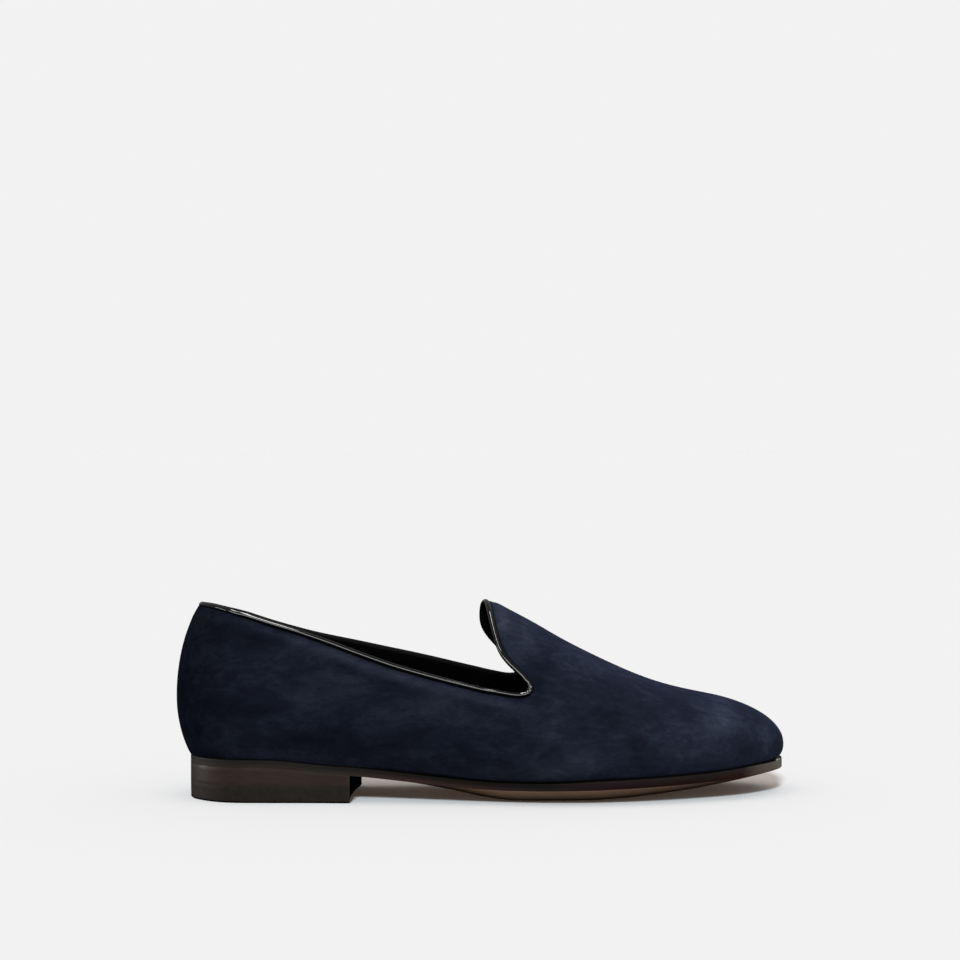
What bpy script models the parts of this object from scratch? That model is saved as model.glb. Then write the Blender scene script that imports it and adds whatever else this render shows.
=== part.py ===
"""Suede slip-on shoe for the right foot, as an assembly of six leather and rubber pieces.

The frame: X runs from heel to toe, Y from the outer to the inner side of the foot, Z up, and the
origin lies on the floor under the middle of the shoe. Sizes below are in millimetres.
"""

import bmesh
import bpy
import numpy as np

MM = 0.001

# Fits and wall sizes
GAP = 0.3                # clearance between pieces that meet
WALL = 2.0               # suede and its lining together
SOLE_MARGIN = 1.5        # outsole beyond the foot of the upper
BACK_MARGIN = -0.4       # the same at the very back, where the upper bulges over it
BACK_BLEND = 30.0        # length over which one margin turns into the other
INSOLE_THICK = 2.2
INSOLE_EASE = 0.2        # insole's further clearance from the lining
TOP_CAMBER = 0.4         # share of the tread's camber that the upper face of the outsole has
FLAT_SHARE = 0.48        # flat middle share of the tread's half width
BINDING_HEIGHT = 2.6
BINDING_PROUD = 0.45     # binding beyond the suede, outside and inside

# Heel
LIFT_TOP = 8.1           # height of the line between top lift and stack
BREAST_X = -60.5         # heel breast at the middle of the shoe
BREAST_SLANT = 0.047     # breast runs forward towards the inner side
BREAST_HOLLOW = 1.6
HEEL_TAPER = 0.5         # heel draws in by this much from its seat to the floor

# The last: ends, and the centres that the round ends turn about
HEEL_END = -146.7
HEEL_TURN = -112.0
TOE_END = 146.9
TOE_TURN = 111.0

# One row for each section of the last: x, outer and inner side at the widest level, the height of
# that level, the crest's height, the depth that the lower half would reach, how far the crest
# leans to the inner side, how much the sides draw in towards the crest, and the power of the
# section's rounding
LAST_COLUMNS = ("x", "outer", "inner", "widest", "crest", "under", "lean", "pinch", "power")
LAST = (
    (-147.0, -34.2, 32.8, 48.0, 108.0, 48.0, 0.0, 0.12, 2.0),
    (-112.0, -34.8, 32.8, 48.0, 108.0, 48.0, 0.0, 0.12, 2.0),
    (-62.0, -36.4, 31.4, 42.5, 104.0, 48.0, 1.0, 0.12, 2.0),
    (-22.0, -40.6, 32.4, 34.5, 98.0, 41.0, 4.0, 0.10, 2.0),
    (8.0, -45.6, 37.6, 26.5, 91.7, 31.0, 6.0, 0.04, 1.97),
    (32.0, -48.7, 44.4, 21.5, 78.5, 24.0, 6.0, 0.0, 1.97),
    (60.0, -47.3, 48.6, 19.6, 63.7, 21.0, 5.0, 0.0, 2.05),
    (88.0, -40.8, 46.8, 20.3, 52.3, 19.5, 2.5, 0.0, 2.2),
    (111.0, -32.2, 41.7, 21.8, 46.9, 18.0, 1.0, 0.0, 2.4),
    (147.0, -15.0, 33.0, 22.8, 39.0, 17.0, 0.0, 0.0, 2.4),
)

# One row for each station of the sole: x, the foot of the upper's height, the tread's height in
# the middle, and the leather's thickness at the edge
SOLE_COLUMNS = ("x", "feather", "tread", "thick")
SOLE = (
    (-147.0, 20.7, 16.6, 3.8),
    (-103.0, 20.5, 16.4, 3.8),
    (-72.0, 17.9, 13.8, 3.8),
    (-57.0, 16.9, 12.8, 3.8),
    (-41.0, 15.3, 10.4, 3.8),
    (-21.0, 13.2, 6.6, 3.7),
    (0.0, 11.4, 2.2, 3.6),
    (16.0, 10.8, 0.0, 3.5),
    (48.0, 11.2, 0.0, 3.5),
    (63.0, 11.6, 0.6, 3.5),
    (85.0, 12.3, 2.5, 3.5),
    (102.0, 13.0, 4.6, 3.5),
    (123.0, 14.0, 8.0, 3.4),
    (134.0, 14.6, 9.9, 3.1),
    (147.0, 15.1, 12.1, 2.7),
)

# The cut edge of the upper, from the back of the heel along the outer side, round the throat and
# over the tongue, and back along the inner side; four of the rows are tied to the sole's outline
EDGE_COLUMNS = ("x", "y", "z")
EDGE = (
    (-136.2, -0.7, 91.2),
    (-128.0, -17.0, 90.2),
    (-112.0, -22.5, 87.1),
    (-84.0, -26.5, 78.5),
    (-44.0, -31.5, 64.6),
    (-4.0, -37.0, 53.7),
    (11.0, -39.5, 50.7),
    (19.0, -40.2, 50.1),
    (23.2, -39.2, 51.6),
    (24.6, -38.0, 55.2),
    (23.0, -36.3, 58.6),
    (11.6, -29.0, 69.6),
    (7.3, -20.0, 78.6),
    (5.2, -9.0, 87.9),
    (4.0, 3.0, 92.3),
    (2.2, 13.0, 88.1),
    (2.8, 21.5, 79.6),
    (9.2, 27.8, 71.0),
    (20.4, 33.0, 61.2),
    (21.8, 34.2, 57.8),
    (20.0, 35.0, 54.1),
    (15.2, 35.0, 52.5),
    (7.0, 33.8, 53.8),
    (-5.0, 32.0, 57.0),
    (-29.0, 28.5, 63.2),
    (-60.0, 25.5, 69.6),
    (-84.0, 23.5, 74.1),
    (-112.0, 20.0, 81.6),
    (-127.5, 15.0, 87.6),
)
EDGE_TIES = (0, 9, 14, 19)          # heel back, outer throat, tongue, inner throat
FEATHER_TIES = (62.0, 58.0)         # x of the sole's outline under the two throat corners
TIE_COLUMNS = (26, 18, 18, 26)      # grid columns between one tie and the next
QUARTER_CROWD = 0.45
UPPER_ROWS = 15                     # rows of the grid below the bands along the cut edge
EDGE_BANDS = (6.5, 2.8)
ROW_CROWD = 1.35                    # rows crowd towards the foot and the nose
RELAX_ROUNDS = 160                  # passes that pull the grid tight
ROW_PULL = 0.7                      # pull along the rows; the rest is from side to side

# Mesh sizes of the other pieces: stations along, points across
SOLE_GRID = (42, 11)
INSOLE_GRID = (32, 7)
HEEL_GRID = (16, 7)
BEAD_SIDES = 10
BEAD_POWER = 0.7                    # under 1 squares the bead's round section a little
HEEL_ROUND = 8.0                    # how soon the taper takes hold round the heel's back


def monotone(xs, ys, x):
    """Smooth curve through the rows of a table that never swings past them."""
    xs, ys = np.asarray(xs, float), np.asarray(ys, float)
    step = np.diff(xs)
    rise = np.diff(ys) / step
    slope = np.zeros(len(xs))
    same = rise[1:] * rise[:-1] > 0
    safe = np.where(same, rise[1:] * rise[:-1], 1.0)
    total = np.where(same, rise[1:] + rise[:-1], 1.0)
    slope[1:-1] = np.where(same, 2.0 * safe / total, 0.0)
    slope[0], slope[-1] = rise[0], rise[-1]
    x = np.clip(x, xs[0], xs[-1])
    i = np.clip(np.searchsorted(xs, x, side="right") - 1, 0, len(xs) - 2)
    t = (x - xs[i]) / step[i]
    low = ys[i] * (1 + 2 * t) * (1 - t) ** 2 + ys[i + 1] * t * t * (3 - 2 * t)
    return low + step[i] * (slope[i] * t * (1 - t) ** 2 - slope[i + 1] * t * t * (1 - t))


def even(xs, ys, x):
    """Curve of even bend through the rows of a table, straight at its ends."""
    xs, ys = np.asarray(xs, float), np.asarray(ys, float)
    step = np.diff(xs)
    count = len(xs)
    system, side = np.eye(count), np.zeros(count)
    for i in range(1, count - 1):
        system[i, i - 1:i + 2] = (step[i - 1], 2 * (step[i - 1] + step[i]), step[i])
        side[i] = 6 * ((ys[i + 1] - ys[i]) / step[i] - (ys[i] - ys[i - 1]) / step[i - 1])
    bend = np.linalg.solve(system, side)
    x = np.clip(x, xs[0], xs[-1])
    i = np.clip(np.searchsorted(xs, x, side="right") - 1, 0, count - 2)
    t, h = (x - xs[i]) / step[i], step[i]
    line = ys[i] * (1 - t) + ys[i + 1] * t
    return line + h * h / 6 * (
        bend[i] * ((1 - t) ** 3 - (1 - t)) + bend[i + 1] * (t ** 3 - t))


def last_column(name, x):
    rows = np.array(LAST)
    return even(rows[:, 0], rows[:, LAST_COLUMNS.index(name)], x)


def sole_column(name, x):
    rows = np.array(SOLE)
    return monotone(rows[:, 0], rows[:, SOLE_COLUMNS.index(name)], x)


def end_share(x):
    """How far x lies into the round heel end or toe end, from 0 to 1 at the tip."""
    toe = np.clip(x - TOE_TURN, 0, None) / (TOE_END - TOE_TURN)
    heel = np.clip(HEEL_TURN - x, 0, None) / (HEEL_TURN - HEEL_END)
    return toe + heel


def last_field(p):
    """Negative inside the last, nought on its surface and positive outside."""
    x, y, z = p[..., 0], p[..., 1], p[..., 2]
    outer, inner = last_column("outer", x), last_column("inner", x)
    widest = last_column("widest", x)
    above = last_column("crest", x) - widest
    rise = z - widest
    share = np.where(rise > 0, rise / above, rise / last_column("under", x))
    lean = last_column("lean", x) * np.clip(share, 0, 1) ** 2
    half = (inner - outer) / 2 * (1 - last_column("pinch", x) * np.clip(share, 0, 1))
    side = (y - lean - (outer + inner) / 2) / half
    power = last_column("power", x)
    return np.abs(side) ** power + np.abs(share) ** power + end_share(x) ** power - 1


def last_slope(p):
    """Gradient of the last's field, which points straight out of its surface."""
    h = 0.02
    parts = []
    for axis in range(3):
        d = np.zeros(3)
        d[axis] = h
        parts.append((last_field(p + d) - last_field(p - d)) / (2 * h))
    return np.stack(parts, -1)


def outward(p):
    g = last_slope(p)
    return g / np.linalg.norm(g, axis=-1, keepdims=True)


def onto_last(p, rounds=6):
    """Points moved onto the surface of the last."""
    for _ in range(rounds):
        g = last_slope(p)
        step = last_field(p) / np.maximum((g * g).sum(-1), 1e-9)
        move = step[..., None] * g
        size = np.linalg.norm(move, axis=-1, keepdims=True)
        p = p - move * np.minimum(1.0, 8.0 / np.maximum(size, 1e-9))
    return p


def half_outline(x, z):
    """Middle and half width of the last in plan at x and height z."""
    outer, inner = last_column("outer", x), last_column("inner", x)
    widest = last_column("widest", x)
    power = last_column("power", x)
    share = np.abs(widest - z) / last_column("under", x)
    left = np.clip(1 - share ** power - end_share(x) ** power, 0, None)
    return (outer + inner) / 2, (inner - outer) / 2 * left ** (1 / power)


def plan_end(start, stop):
    """Furthest x that the foot of the upper reaches between start and stop."""
    for _ in range(50):
        x = (start + stop) / 2
        if half_outline(x, sole_column("feather", x))[1] > 0:
            start = x
        else:
            stop = x
    return start


FOOT_BACK = plan_end(HEEL_TURN, HEEL_END)
FOOT_FRONT = plan_end(TOE_TURN, TOE_END)


def offset_plan(distance, at_back):
    """Outer and inner side of the upper's foot in plan, moved outwards by a distance."""
    turn = np.linspace(0, np.pi, 600)
    x = FOOT_BACK + (FOOT_FRONT - FOOT_BACK) * (1 - np.cos(turn)) / 2
    middle, half = half_outline(x, sole_column("feather", x))
    near_back = np.clip(1 - (x - FOOT_BACK) / BACK_BLEND, 0, 1) ** 2
    move = (distance + (at_back - distance) * near_back)[:, None]
    sides = []
    for sign in (-1, 1):
        side = np.stack([x, middle + sign * half], -1)
        run = np.gradient(side, axis=0)
        out = sign * np.stack([-run[:, 1], run[:, 0]], -1)
        sides.append(side + move * out / np.linalg.norm(out, axis=-1, keepdims=True))
    return sides


INSOLE_MARGIN = -(WALL + GAP + INSOLE_EASE)
SOLE_PLAN = offset_plan(SOLE_MARGIN, BACK_MARGIN)
INSOLE_PLAN = offset_plan(INSOLE_MARGIN, INSOLE_MARGIN)


def plan_half(plan, x):
    """Middle and half width of a plan at x."""
    outer, inner = (np.interp(x, side[:, 0], side[:, 1]) for side in plan)
    return (outer + inner) / 2, np.maximum(inner - outer, 0) / 2


def sole_faces(x, y):
    """Heights of the tread face and the upper face of the outsole at x and y."""
    middle, half = plan_half(SOLE_PLAN, x)
    across = np.abs(y - middle) / np.maximum(half, 1e-6)
    ramp = np.clip((across - FLAT_SHARE) / (1 - FLAT_SHARE), 0, 1) ** 2
    tread, thick = sole_column("tread", x), sole_column("thick", x)
    camber = sole_column("feather", x) - GAP - thick - tread
    upper_edge = tread + camber + thick
    return tread + camber * ramp, upper_edge - TOP_CAMBER * camber * (1 - np.clip(across, 0, 1) ** 2)


def along(points, shares):
    """Points at the given shares of a polyline's length."""
    step = np.linalg.norm(np.diff(points, axis=0), axis=1)
    run = np.concatenate([[0], np.cumsum(step)])
    return np.stack([np.interp(shares * run[-1], run, points[:, k]) for k in range(3)], -1)


def closed_curve(points, spans=14):
    """Smooth closed curve through points, with the index of each point on it."""
    p = np.asarray(points, float)
    gap = np.linalg.norm(np.roll(p, -1, axis=0) - p, axis=1) ** 0.5
    before = np.roll(gap, 1)
    ahead = (np.roll(p, -1, axis=0) - p) / gap[:, None]
    behind = (p - np.roll(p, 1, axis=0)) / before[:, None]
    slope = (ahead * before[:, None] + behind * gap[:, None]) / (gap + before)[:, None]
    out = []
    for i in range(len(p)):
        j = (i + 1) % len(p)
        for t in np.arange(spans) / spans:
            flat = p[i] * (1 + 2 * t) * (1 - t) ** 2 + p[j] * t * t * (3 - 2 * t)
            out.append(flat + gap[i] * (slope[i] * t * (1 - t) ** 2 - slope[j] * t * t * (1 - t)))
    return np.array(out), [i * spans for i in range(len(p))]


def tie_shares(part, count):
    """Shares of one stretch between ties; those of the quarters crowd towards both ends."""
    t = np.arange(count) / count
    if part in (0, 3):
        return t - QUARTER_CROWD * np.sin(2 * np.pi * t) / (2 * np.pi)
    return t


def topline_loop():
    """Cut edge of the upper on the last, one point for each grid column."""
    curve, index = closed_curve(EDGE)
    curve = onto_last(curve)
    curve = np.concatenate([curve, curve[:1]])
    ends = [index[i] for i in EDGE_TIES] + [len(curve) - 1]
    parts = []
    for part, count in enumerate(TIE_COLUMNS):
        stretch = curve[ends[part]:ends[part + 1] + 1]
        parts.append(along(stretch, tie_shares(part, count)))
    return np.concatenate(parts)


def side_of_foot(start, stop, sign):
    """Foot of the upper along one side between two stations, on the face of the outsole."""
    span = FOOT_FRONT - FOOT_BACK
    turn = np.arccos(1 - 2 * (np.array([start, stop]) - FOOT_BACK) / span)
    x = FOOT_BACK + span * (1 - np.cos(np.linspace(turn[0], turn[1], 400))) / 2
    z = sole_column("feather", x)
    for _ in range(4):
        middle, half = half_outline(x, z)
        y = middle + sign * half
        z = sole_faces(x, y)[1] + GAP
    return np.stack([x, y, z], -1)


def feather_loop():
    """Foot of the upper, one point for each grid column."""
    outer_x, inner_x = FEATHER_TIES
    stretches = (
        side_of_foot(FOOT_BACK, outer_x, -1),
        side_of_foot(outer_x, FOOT_FRONT, -1),
        side_of_foot(FOOT_FRONT, inner_x, 1),
        side_of_foot(inner_x, FOOT_BACK, 1),
    )
    return np.concatenate([
        along(stretch, tie_shares(part, count))
        for part, (stretch, count) in enumerate(zip(stretches, TIE_COLUMNS))
    ])


def edge_frame(edge):
    """Directions at the cut edge: straight out of the upper, and on past its edge."""
    run = np.roll(edge, -1, axis=0) - np.roll(edge, 1, axis=0)
    out = outward(edge)
    past = np.cross(out, run)
    return out, past / np.linalg.norm(past, axis=-1, keepdims=True)


def upper_grid():
    """Outside of the upper: rows from its foot to its cut edge, pulled tight over the last."""
    foot, edge = feather_loop(), topline_loop()
    past = edge_frame(edge)[1]
    bands = [onto_last(edge - distance * past) for distance in EDGE_BANDS]
    level = np.linspace(0, 1, UPPER_ROWS) ** ROW_CROWD
    grid = foot + (bands[0] - foot) * level[:, None, None]
    grid[1:-1] = onto_last(grid[1:-1], 12)
    step = np.diff(level)
    ahead = (step[:-1] / (step[:-1] + step[1:]))[:, None, None]
    for _ in range(RELAX_ROUNDS):
        rows = grid[:-2] * (1 - ahead) + grid[2:] * ahead
        sides = (np.roll(grid, 1, axis=1) + np.roll(grid, -1, axis=1))[1:-1] / 2
        grid[1:-1] = onto_last(ROW_PULL * rows + (1 - ROW_PULL) * sides, 1)
    grid[1:-1] = onto_last(grid[1:-1])
    return np.concatenate([grid, bands[1][None], edge[None]])


def upper_faces():
    """Outside and lining side of the upper, with its foot flat on the outsole."""
    outside = upper_grid()
    out = outward(outside)
    lining = outside - WALL * out
    flat = out[0].copy()
    flat[:, 2] = 0
    flat /= np.linalg.norm(flat, axis=-1, keepdims=True)
    lining[0] = outside[0] - WALL * flat
    lining[0][:, 2] = sole_faces(lining[0][:, 0], lining[0][:, 1])[1] + GAP
    return outside, lining


def new_object(name, bm, material):
    """Object from a mesh in millimetres, with outward faces and smooth shading."""
    bmesh.ops.remove_doubles(bm, verts=bm.verts, dist=1e-4)
    bmesh.ops.recalc_face_normals(bm, faces=bm.faces)
    bmesh.ops.scale(bm, vec=(MM, MM, MM), verts=bm.verts)
    mesh = bpy.data.meshes.new(name)
    bm.to_mesh(mesh)
    bm.free()
    mesh.materials.append(material)
    for face in mesh.polygons:
        face.use_smooth = True
    ob = bpy.data.objects.new(name, mesh)
    bpy.context.scene.collection.objects.link(ob)
    return ob


def add_grid(bm, grid, wrap):
    """Vertices and faces of a grid of points; wrap joins the last column to the first."""
    rows = [[bm.verts.new(p) for p in row] for row in grid]
    count = len(rows[0])
    for low, high in zip(rows, rows[1:]):
        for j in range(count if wrap else count - 1):
            k = (j + 1) % count
            bm.faces.new((low[j], low[k], high[k], high[j]))
    return rows


def rim(rows, wrap):
    """Border vertices of a grid, in order."""
    if wrap:
        return [rows[0], rows[-1]]
    right = [row[-1] for row in rows[1:-1]]
    left = [row[0] for row in rows[1:-1]]
    return [rows[0] + right + rows[-1][::-1] + left[::-1]]


def solid_between(name, one, other, wrap, material):
    """Closed body between two grids of the same size."""
    bm = bmesh.new()
    first, second = add_grid(bm, one, wrap), add_grid(bm, other, wrap)
    for a, b in zip(rim(first, wrap), rim(second, wrap)):
        for j in range(len(a)):
            k = (j + 1) % len(a)
            bm.faces.new((a[j], a[k], b[k], b[j]))
    bmesh.ops.remove_doubles(bm, verts=bm.verts, dist=1e-4)
    bmesh.ops.dissolve_degenerate(bm, edges=bm.edges, dist=1e-5)
    return new_object(name, bm, material)


def plan_rows(plan, rows, across):
    """Points in plan from side to side at stations that crowd towards the round ends."""
    turn = np.linspace(0, np.pi, rows)
    start, stop = plan[0][0, 0], plan[0][-1, 0]
    x = start + (stop - start) * (1 - np.cos(turn)) / 2
    middle, half = plan_half(plan, x)
    half[[0, -1]] = 0
    share = np.sin(np.linspace(-np.pi / 2, np.pi / 2, across))
    y = middle[:, None] + half[:, None] * share
    return np.stack([np.broadcast_to(x[:, None], y.shape), y], -1)


def lift_to(plan, heights):
    return np.concatenate([plan, heights[..., None]], -1)


def make_upper(material):
    outside, lining = upper_faces()
    return solid_between("upper", outside, lining, True, material)


def make_binding(material):
    """Rolled edge binding: a rounded bead that runs along the whole cut edge."""
    outside, lining = upper_faces()
    edge, back = outside[-1], lining[-1]
    out, past = edge_frame(edge)
    middle = (edge + back) / 2
    wide = WALL / 2 + BINDING_PROUD
    rings = []
    for turn in np.arange(BEAD_SIDES) * 2 * np.pi / BEAD_SIDES:
        c, s = np.cos(turn), np.sin(turn)
        side = wide * np.sign(c) * np.abs(c) ** BEAD_POWER
        tall = GAP + BINDING_HEIGHT / 2 * (1 + np.sign(s) * np.abs(s) ** BEAD_POWER)
        rings.append(middle + side * out + tall * past)
    rings.append(rings[0])
    bm = bmesh.new()
    add_grid(bm, np.array(rings), True)
    return new_object("topline_binding", bm, material)


def make_outsole(material):
    plan = plan_rows(SOLE_PLAN, *SOLE_GRID)
    tread, upper = sole_faces(plan[..., 0], plan[..., 1])
    return solid_between("outsole", lift_to(plan, tread), lift_to(plan, upper), False, material)


def make_insole(material):
    """Sock and insole board in one, resting on the outsole inside the upper."""
    plan = plan_rows(INSOLE_PLAN, *INSOLE_GRID)
    low = sole_faces(plan[..., 0], plan[..., 1])[1] + GAP
    return solid_between(
        "insole", lift_to(plan, low), lift_to(plan, low + INSOLE_THICK), False, material)


def heel_plan(taper):
    """Plan of the heel: the sole's outline drawn in by the taper, cut at the hollow breast."""
    start = SOLE_PLAN[0][0, 0] + taper
    stations, across = HEEL_GRID
    turn = np.linspace(0, np.pi / 2, stations)
    rows = []
    for t in turn:
        share = 1 - np.cos(t)
        x = start + (BREAST_X - start) * share
        middle, width = plan_half(SOLE_PLAN, x)
        side = max(width - taper * min(1.0, share * HEEL_ROUND), 0.0) * np.linspace(-1, 1, across)
        hollow = BREAST_HOLLOW * (1 - (side / max(width, 1e-6)) ** 2)
        shift = (side * BREAST_SLANT - hollow) * share ** 2
        rows.append(np.stack([x + shift, middle + side], -1))
    return np.array(rows)


def make_heel_stack(material):
    high, low = heel_plan(0.0), heel_plan(HEEL_TAPER / 2)
    seat = sole_faces(high[..., 0], high[..., 1])[0] - GAP
    base = np.full(seat.shape, LIFT_TOP + GAP / 2)
    return solid_between("heel_stack", lift_to(high, seat), lift_to(low, base), False, material)


def make_top_lift(material):
    high, low = heel_plan(HEEL_TAPER / 2), heel_plan(HEEL_TAPER)
    top = np.full(high.shape[:2], LIFT_TOP - GAP / 2)
    return solid_between(
        "top_lift", lift_to(high, top), lift_to(low, np.zeros(low.shape[:2])), False, material)


def surface(name, colour, roughness):
    """Principled material from an sRGB colour in steps of 255."""
    material = bpy.data.materials.new(name)
    material.use_nodes = True
    shader = material.node_tree.nodes["Principled BSDF"]
    linear = [(c / 255 / 12.92) if c < 11 else ((c / 255 + 0.055) / 1.055) ** 2.4 for c in colour]
    shader.inputs["Base Color"].default_value = (*linear, 1.0)
    shader.inputs["Roughness"].default_value = roughness
    shader.inputs["Metallic"].default_value = 0.0
    material.diffuse_color = (*linear, 1.0)
    return material


def clear_scene():
    for ob in list(bpy.data.objects):
        bpy.data.objects.remove(ob, do_unlink=True)


def build():
    clear_scene()
    make_upper(surface("navy_suede", (38, 43, 60), 0.95))
    make_binding(surface("black_binding_leather", (14, 14, 16), 0.35))
    make_insole(surface("black_lining_leather", (12, 12, 14), 0.6))
    make_outsole(surface("brown_sole_leather", (66, 52, 44), 0.5))
    make_heel_stack(surface("stacked_heel_leather", (56, 47, 42), 0.45))
    make_top_lift(surface("heel_rubber", (42, 38, 35), 0.6))


build()
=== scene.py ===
from math import cos, exp, pi, radians, sin

import bmesh
import bpy
from mathutils import Matrix, Vector, geometry
from mathutils.kdtree import KDTree


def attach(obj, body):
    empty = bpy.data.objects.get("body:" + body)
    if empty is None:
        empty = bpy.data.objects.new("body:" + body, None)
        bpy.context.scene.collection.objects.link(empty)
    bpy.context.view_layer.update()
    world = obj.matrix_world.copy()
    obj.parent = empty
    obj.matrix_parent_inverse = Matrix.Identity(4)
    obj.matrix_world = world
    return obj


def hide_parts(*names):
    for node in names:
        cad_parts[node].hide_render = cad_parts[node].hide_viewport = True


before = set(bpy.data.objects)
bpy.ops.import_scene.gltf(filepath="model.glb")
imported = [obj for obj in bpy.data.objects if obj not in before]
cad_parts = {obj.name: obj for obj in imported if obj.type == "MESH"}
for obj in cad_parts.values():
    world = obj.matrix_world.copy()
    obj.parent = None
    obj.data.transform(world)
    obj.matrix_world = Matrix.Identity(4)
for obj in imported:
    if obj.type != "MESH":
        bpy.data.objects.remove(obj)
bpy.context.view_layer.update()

# Navy suede slip-on, right foot. +X toe, -Y outer side, +Z up, in metres; sizes here in mm.
mm = 0.001


# Shared helpers

def linear(hexColour):
    parts = [int(hexColour[i:i + 2], 16) / 255 for i in (1, 3, 5)]
    return [c / 12.92 if c <= 0.04045 else ((c + 0.055) / 1.055) ** 2.4 for c in parts] + [1.0]


def put(tree, kind, settings, inputs, stops=()):
    # one node with its settings, its inputs (values or links) and, for a colour ramp, its stops
    node = tree.nodes.new(kind)
    for key, value in settings.items():
        setattr(node, key, value)
    for key, value in inputs.items():
        socket = node.inputs[key]
        if isinstance(value, bpy.types.NodeSocket):
            tree.links.new(value, socket)
        else:
            socket.default_value = value
    for i, (place, colour) in enumerate(stops):
        points = node.color_ramp.elements
        point = points[i] if i < len(points) else points.new(place)
        point.position = place
        point.color = linear(colour)
    return node


def newMaterial(name):
    material = bpy.data.materials.new(name)
    material.use_nodes = True
    tree = material.node_tree
    return material, tree, tree.nodes["Principled BSDF"]


joining = {
    "merge": 0.001, "flat": 0.3, "turns": 12,                     # mm, mm, and how many edges are turned
    "bend": 60, "skew": 90, "follow": 2.0,                        # degrees, and how well rows are followed
}


def joinPairs(bm, faces, follow):
    # pairs of triangles back into four-sided faces
    bmesh.ops.join_triangles(bm, faces=faces, angle_face_threshold=radians(joining["bend"]),
                             angle_shape_threshold=radians(joining["skew"]), topology_influence=follow)


def copyNode(name):
    # a CAD node's triangles, merged and joined back into its four-sided faces
    bm = bmesh.new()
    bm.from_mesh(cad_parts[name].data)
    bmesh.ops.remove_doubles(bm, verts=bm.verts, dist=joining["merge"] * mm)
    # a triangle with almost no height gives its long side to its neighbour, one after another
    for step in range(joining["turns"]):
        flat = min(bm.faces, key=lambda face: face.calc_area() / max(e.calc_length() for e in face.edges))
        longest = max(flat.edges, key=lambda edge: edge.calc_length())
        if 2 * flat.calc_area() > joining["flat"] * mm * longest.calc_length():
            break
        bmesh.ops.rotate_edges(bm, edges=[longest])
    joinPairs(bm, bm.faces, joining["follow"])
    return bm


def islands(bm):
    # groups of faces that hang together, the largest first
    left = set(bm.faces)
    found = []
    while left:
        stack = [left.pop()]
        island = []
        while stack:
            face = stack.pop()
            island.append(face)
            for edge in face.edges:
                for other in edge.link_faces:
                    if other in left:
                        left.remove(other)
                        stack.append(other)
        found.append(island)
    return sorted(found, key=lambda faces: -sum(face.calc_area() for face in faces))


def borderLoops(bm):
    # each open border as its vertices in order, the same in every run
    left = {edge: True for edge in bm.edges if edge.is_boundary}
    loops = []
    while left:
        edge = next(iter(left))
        del left[edge]
        start, vert = edge.verts
        loop = [start, vert]
        while vert is not start:
            edge = next(e for e in vert.link_edges if e in left)
            del left[edge]
            vert = edge.other_vert(vert)
            loop.append(vert)
        loops.append(loop[:-1])
    return loops


def mendTorn(bm):
    # where the CAD's triangles overlap beside the throat, the torn strip is taken out and filled anew
    torn = {vert for loop in sorted(borderLoops(bm), key=len)[:-2] for vert in loop}
    if not torn:
        return
    bm.normal_update()
    rims = {edge for edge in bm.edges if edge.is_boundary and not torn & set(edge.verts)}
    strip = [face for face in bm.faces if torn & set(face.verts)]
    out = sum((face.normal * face.calc_area() for face in strip), Vector()).normalized()
    bmesh.ops.delete(bm, geom=strip, context="FACES")
    bmesh.ops.delete(bm, geom=[vert for vert in bm.verts if not vert.link_faces], context="VERTS")
    hole = [edge for edge in bm.edges if edge.is_boundary and edge not in rims]
    drawn = bmesh.ops.triangle_fill(bm, use_beauty=True, edges=hole, normal=out)["geom"]
    fresh = [part for part in drawn if isinstance(part, bmesh.types.BMFace)]
    bm.normal_update()
    bmesh.ops.reverse_faces(bm, faces=[face for face in fresh if face.normal.dot(out) < 0])
    joinPairs(bm, fresh, 0.0)


def sheetOf(node, rank, rimAngle):
    # one face of a thin wall: 0 is the outside, 1 the inside; the rims are cut off at their corners
    bm = copyNode(node)
    rims = [edge for edge in bm.edges if edge.calc_face_angle(0) > radians(rimAngle)]
    bmesh.ops.split_edges(bm, edges=rims)
    kept = set(islands(bm)[rank])
    bmesh.ops.delete(bm, geom=[face for face in bm.faces if face not in kept], context="FACES")
    mendTorn(bm)
    return bm


def crease(bm, angle):
    # corners that stay hard when the faces are made finer
    layer = bm.edges.layers.float.get("crease_edge") or bm.edges.layers.float.new("crease_edge")
    for edge in bm.edges:
        if edge.calc_face_angle(0) > radians(angle):
            edge[layer] = 1.0


def toMesh(bm, name):
    mesh = bpy.data.meshes.new(name)
    bm.to_mesh(mesh)
    bm.free()
    return mesh


def smoothed(bm, levels):
    scratch = bpy.data.objects.new("scratch", toMesh(bm, "scratch"))
    bpy.context.scene.collection.objects.link(scratch)
    modifier = scratch.modifiers.new("finer", "SUBSURF")
    modifier.levels = modifier.render_levels = levels
    graph = bpy.context.evaluated_depsgraph_get()
    mesh = bpy.data.meshes.new_from_object(scratch.evaluated_get(graph))
    bpy.data.objects.remove(scratch, do_unlink=True)
    fine = bmesh.new()
    fine.from_mesh(mesh)
    bpy.data.meshes.remove(mesh)
    fine.verts.ensure_lookup_table()
    return fine


def subdivided(bm, levels):
    # finer faces whose smooth surface still passes through the CAD's own points
    true = [vert.co.copy() for vert in bm.verts]
    for step in range(2):
        trial = smoothed(bm.copy(), levels)
        for i, vert in enumerate(bm.verts):
            vert.co += true[i] - trial.verts[i].co
        trial.free()
    return smoothed(bm, levels)


def addPiece(name, bm, materials, nodes=()):
    for face in bm.faces:
        face.smooth = True
    piece = bpy.data.objects.new(name, toMesh(bm, name))
    for material in materials:
        piece.data.materials.append(material)
    bpy.context.scene.collection.objects.link(piece)
    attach(piece, "root")
    if nodes:
        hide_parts(*nodes)
    print("piece", name, len(piece.data.polygons), "faces")
    return piece


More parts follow.
